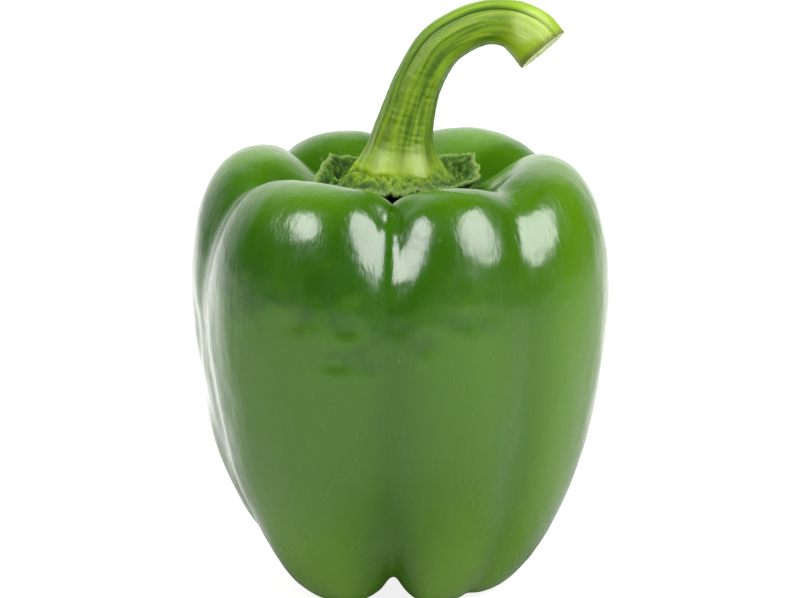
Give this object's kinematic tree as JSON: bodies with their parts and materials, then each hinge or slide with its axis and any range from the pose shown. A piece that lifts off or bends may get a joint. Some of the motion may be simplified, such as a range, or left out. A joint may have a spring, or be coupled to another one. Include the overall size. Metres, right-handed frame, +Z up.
{
  "type": "bell pepper",
  "caption": "Blocky bell pepper with a lobed, tapering fruit, a ragged flat calyx in the dimple and a thick stem that arches over to a cut end. Stands on its lobes.",
  "frame": {"origin": "on the surface that the pepper stands on, under the middle of its bounding box", "axes": "+Z up along the fruit and stem, +X to the side that the stem bends towards, -Y to the front"},
  "size_m": [0.0898, 0.0894, 0.127],
  "materials": {
    "fruit_skin": "waxy gloss skin, deep green, stands in for living plant skin",
    "calyx_leaf": "dull, crumpled grey-green leaf tissue",
    "stem_bark": "satin lime green with ribs and fine wrinkles, pale fibrous cut end"
  },
  "bodies": {
    "root": {"fruit": "fruit_skin", "calyx": "calyx_leaf", "stem": "stem_bark"}
  },
  "joints": []
}
